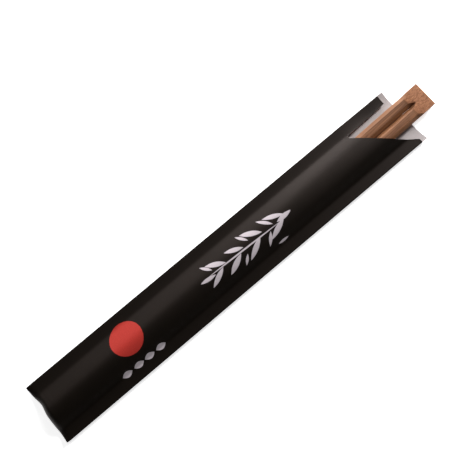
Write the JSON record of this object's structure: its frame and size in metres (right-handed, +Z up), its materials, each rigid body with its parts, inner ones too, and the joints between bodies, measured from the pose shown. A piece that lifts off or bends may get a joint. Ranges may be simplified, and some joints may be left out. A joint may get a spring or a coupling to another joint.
{
  "type": "bamboo chopsticks in a paper sleeve",
  "caption": "Joined bamboo chopsticks, not yet snapped apart, in a half-open folded paper sleeve with a slanting mouth and a closed end.",
  "frame": {"origin": "on the surface that the sleeve lies on, under the middle of the whole length", "axes": "+X along the sleeve towards the chopstick heads, +Y towards the sleeve edge with the narrow strip, +Z up through the printed front"},
  "size_m": [0.2468, 0.033, 0.0062],
  "materials": {
    "bamboo": "plain sanded carbonised bamboo",
    "printed_paper": "satin black outside, white inside"
  },
  "bodies": {
    "root": {"chopstick_pair": "bamboo", "paper_sleeve": "printed_paper"}
  },
  "joints": []
}
